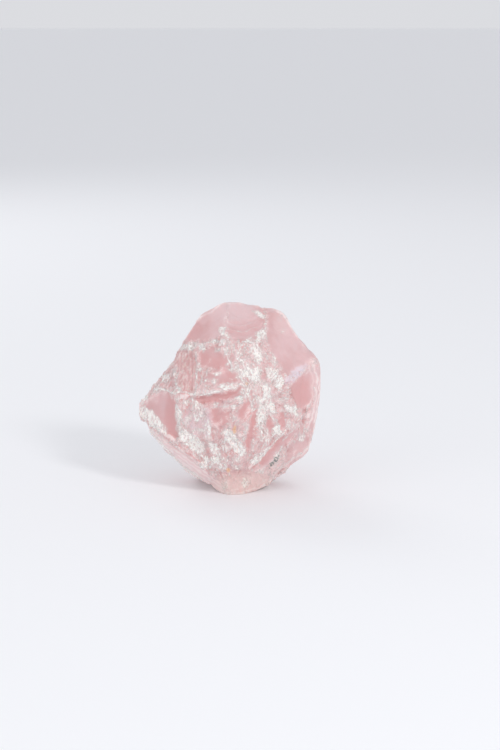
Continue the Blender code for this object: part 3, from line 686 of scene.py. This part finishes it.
def place_along(stretch, far_stretch, warp):
    """Where a point is, drawn out upright, and round the heart of the shattered zone drawn out
    along its rays, with every line bent a little."""
    place = nodes.new("ShaderNodeTexCoord")
    bend = nodes.new("ShaderNodeTexNoise")
    bend.inputs["Scale"].default_value = 330
    bend.inputs["Detail"].default_value = 2
    links.new(place.outputs["Object"], bend.inputs["Vector"])
    bent = nodes.new("ShaderNodeVectorMath")
    bent.operation = "MULTIPLY_ADD"
    links.new(bend.outputs["Color"], bent.inputs[0])
    bent.inputs[1].default_value = (warp, warp, warp)
    links.new(place.outputs["Object"], bent.inputs[2])
    split = nodes.new("ShaderNodeSeparateXYZ")
    links.new(bent.outputs[0], split.inputs[0])
    x = sum_of("SUBTRACT", HEART[0] / 1000, split.outputs[0])
    z = sum_of("SUBTRACT", split.outputs[2], HEART[1] / 1000)
    far = sum_of("SQRT", sum_of("ADD", sum_of("MULTIPLY", x, x), sum_of("MULTIPLY", z, z)))
    rayed = nodes.new("ShaderNodeCombineXYZ")
    feed(rayed.inputs[0], sum_of("MULTIPLY", sum_of("ARCTAN2", z, x), AROUND / 1000))
    feed(rayed.inputs[1], split.outputs[1])
    feed(rayed.inputs[2], sum_of("MULTIPLY", far, far_stretch))
    upright = nodes.new("ShaderNodeVectorMath")
    upright.operation = "MULTIPLY"
    links.new(bent.outputs[0], upright.inputs[0])
    upright.inputs[1].default_value = stretch
    chosen = nodes.new("ShaderNodeMix")
    chosen.data_type = "VECTOR"
    off_middle = sum_of("ABSOLUTE", sum_of("SUBTRACT", far, sum(RAYED) / 2000))
    feed(chosen.inputs[0], sum_of("LESS_THAN", off_middle, (RAYED[1] - RAYED[0]) / 2000))
    links.new(upright.outputs[0], chosen.inputs[4])
    links.new(rayed.outputs[0], chosen.inputs[5])
    return chosen.outputs[1]


def flecks_at(place, per_metre):
    """A number of each fleck's own, from 0 to 1."""
    node = nodes.new("ShaderNodeTexVoronoi")
    node.inputs["Scale"].default_value = per_metre
    links.new(place, node.inputs["Vector"])
    split = nodes.new("ShaderNodeSeparateColor")
    links.new(node.outputs["Color"], split.inputs[0])
    return split.outputs[0]


def threads(value, half):
    """Thin lines where a noise crosses its middle."""
    return ramp(sum_of("ABSOLUTE", sum_of("SUBTRACT", value, 0.5)), 0.0, half, 1.0, 0.0)


LONG = 0.42  # how much slower the flecks change along the stone's grain
BEND = 0.0013  # metres
drawn_out = place_along((1.0, 1.0, LONG), LONG, BEND)
frosted = skin_value("frost")
big_lot = flecks_at(drawn_out, 600)
lot = flecks_at(drawn_out, 1200)
shade = flecks_at(drawn_out, 1900)
fibres = noise_at(drawn_out, 520, 3, 0.6)
crossing = threads(grain(480, 2, 0.55, (1, 1, 0.8), 1.0), 0.035)
lines = sum_of("MAXIMUM", threads(fibres, 0.04), crossing)
share = sum_of("MULTIPLY_ADD", sum_of("SUBTRACT", big_lot, 0.5), 0.6, frosted)
share = sum_of("MULTIPLY_ADD", lines, 0.4, share)
dusted = ramp(sum_of("SUBTRACT", share, lot), -0.05, 0.2)
dusted = sum_of("MULTIPLY", dusted, ramp(frosted, 0.05, 0.3))
whiter = sum_of("MULTIPLY_ADD", sum_of("SUBTRACT", frosted, 0.7), 1.1, shade)
whiter = sum_of("MULTIPLY_ADD", lines, 0.3, whiter)
dust = blend(ramp(whiter, 0.1, 0.6), (0.67, 0.53, 0.515, 1), (0.78, 0.695, 0.67, 1))
dust = blend(ramp(whiter, 0.55, 1.0), dust, (0.97, 0.925, 0.88, 1))
specks = grain(1300, 3, 0.6, (1.0, 1.0, 0.6))
cloudy = grain(90, 4, 0.55)
# Cloudy white over the pink, partly the stone's own clouds and partly painted light shining through
# the thin rims and the bevel.
milky_and_lit = sum_of("MULTIPLY_ADD", sum_of("SUBTRACT", cloudy, 0.5), 0.9, skin_value("milk_and_light"))
milky_and_lit = ramp(milky_and_lit, 0.0, 1.0)
colour = blend(ramp(cloudy, 0.35, 0.65), (0.68, 0.41, 0.405, 1), (0.73, 0.47, 0.47, 1))
# Deeper pink, partly the stone's own and partly painted shade under the ledge, beside the step and
# inside the bevel.
colour = blend(skin_value("deep_pink_and_shade"), colour, (0.70, 0.36, 0.35, 1))
colour = blend(milky_and_lit, colour, (0.77, 0.56, 0.565, 1))
# Painted shade darkens the creases.
colour = blend(sum_of("MULTIPLY", skin_value("crease_shade"), 0.35), colour, (0.66, 0.36, 0.34, 1))
reeds = grain(800, 2, 0.5, (1, 1, 0.05))
dark_reeds = sum_of("MULTIPLY", skin_value("streaks"), 0.35)
light_reeds = sum_of("MULTIPLY", skin_value("streaks"), 0.55)
colour = blend(sum_of("MULTIPLY", ramp(reeds, 0.50, 0.42), dark_reeds), colour,
               (0.62, 0.34, 0.30, 1))
colour = blend(sum_of("MULTIPLY", ramp(reeds, 0.53, 0.60), light_reeds), colour,
               (0.80, 0.67, 0.60, 1))
# Painted highlights along the ridges and rims, brightest on the brightest of them.
colour = blend(sum_of("MULTIPLY", skin_value("edge"), 0.7), colour, (0.90, 0.73, 0.71, 1))
brightest = ramp(skin_value("edge"), 0.7, 1.0, 0.0, 0.4)
colour = blend(brightest, colour, (0.96, 0.85, 0.83, 1))
colour = blend(skin_value("lilac"), colour, (0.80, 0.66, 0.71, 1))
colour = blend(ramp(frosted, 0.1, 0.7, 0.0, 0.55), colour, (0.78, 0.68, 0.66, 1))
colour = blend(dusted, colour, dust)
colour = blend(skin_value("rust"), colour, (0.86, 0.55, 0.36, 1))
# Dark grey flecks through the frost, fewer where it is thickest.
grey_flecks = sum_of("MULTIPLY", ramp(grain(1150, 3, 0.6), 0.58, 0.66),
                ramp(frosted, 0.3, 0.7, 0.0, 0.5))
grey_flecks = sum_of("MULTIPLY", grey_flecks, ramp(frosted, 0.85, 1.0, 1.0, 0.35))
colour = blend(grey_flecks, colour, (0.42, 0.39, 0.35, 1))
sooty = ramp(sum_of("MULTIPLY", skin_value("soot"), grain(900, 2, 0.5)), 0.36, 0.48)
colour = blend(sooty, colour, (0.26, 0.28, 0.26, 1))
links.new(colour, shader.inputs["Base Color"])
links.new(ramp(dusted, 0, 1, 0.40, 0.65), shader.inputs["Roughness"])
shader.inputs["Subsurface Weight"].default_value = 0.25
shader.inputs["Subsurface Radius"].default_value = (1.0, 0.55, 0.5)
shader.inputs["Subsurface Scale"].default_value = 0.003
shader.inputs["IOR"].default_value = 1.54
bump = nodes.new("ShaderNodeBump")
bump.inputs["Strength"].default_value = 0.6
bump.inputs["Distance"].default_value = 0.0006
height = sum_of("MULTIPLY_ADD", shade, 0.25, sum_of("ADD", fibres, sum_of("MULTIPLY", specks, 0.5)))
height = sum_of("MULTIPLY", height, ramp(skin_value("calm"), 0, 1, 1.0, 0.12))
links.new(height, bump.inputs["Height"])
links.new(bump.outputs["Normal"], shader.inputs["Normal"])
stone.data.materials.clear()
stone.data.materials.append(quartz)

# The stone stands on a plain pale floor, under one soft lamp from the upper right and an even sky.
bpy.ops.object.select_all(action="DESELECT")
bpy.ops.mesh.primitive_plane_add(size=60.0, location=(0, 0, 0))
floor = bpy.context.object
floor.name = "floor"
pale = bpy.data.materials.new("pale floor")
pale.use_nodes = True
pale_shader = pale.node_tree.nodes["Principled BSDF"]
pale_shader.inputs["Base Color"].default_value = (0.93, 0.935, 0.95, 1)
pale_shader.inputs["Roughness"].default_value = 0.8
floor.data.materials.append(pale)
for name, place, size, power in (("lamp", (0.75, -0.95, 0.75), 0.25, 5.2),
                                 ("back lamp", (-0.7, 1.1, 0.9), 0.8, 2.9),
                                 ("bounce", (-0.9, -0.8, 0.25), 0.9, 2.0)):
    bpy.ops.object.light_add(type="AREA", location=place)
    lamp = bpy.context.object
    lamp.name = name
    lamp.data.size = size
    lamp.data.energy = power
    lamp.rotation_mode = "QUATERNION"
    lamp.rotation_quaternion = (Vector((0, 0, 0.05)) - Vector(place)).to_track_quat("-Z", "Y")
sky = bpy.data.worlds.new("sky")
bpy.context.scene.world = sky
sky.use_nodes = True
sky.node_tree.nodes["Background"].inputs["Color"].default_value = (0.95, 0.96, 1.0, 1)
sky.node_tree.nodes["Background"].inputs["Strength"].default_value = 0.75
bpy.context.scene.view_settings.view_transform = "Standard"
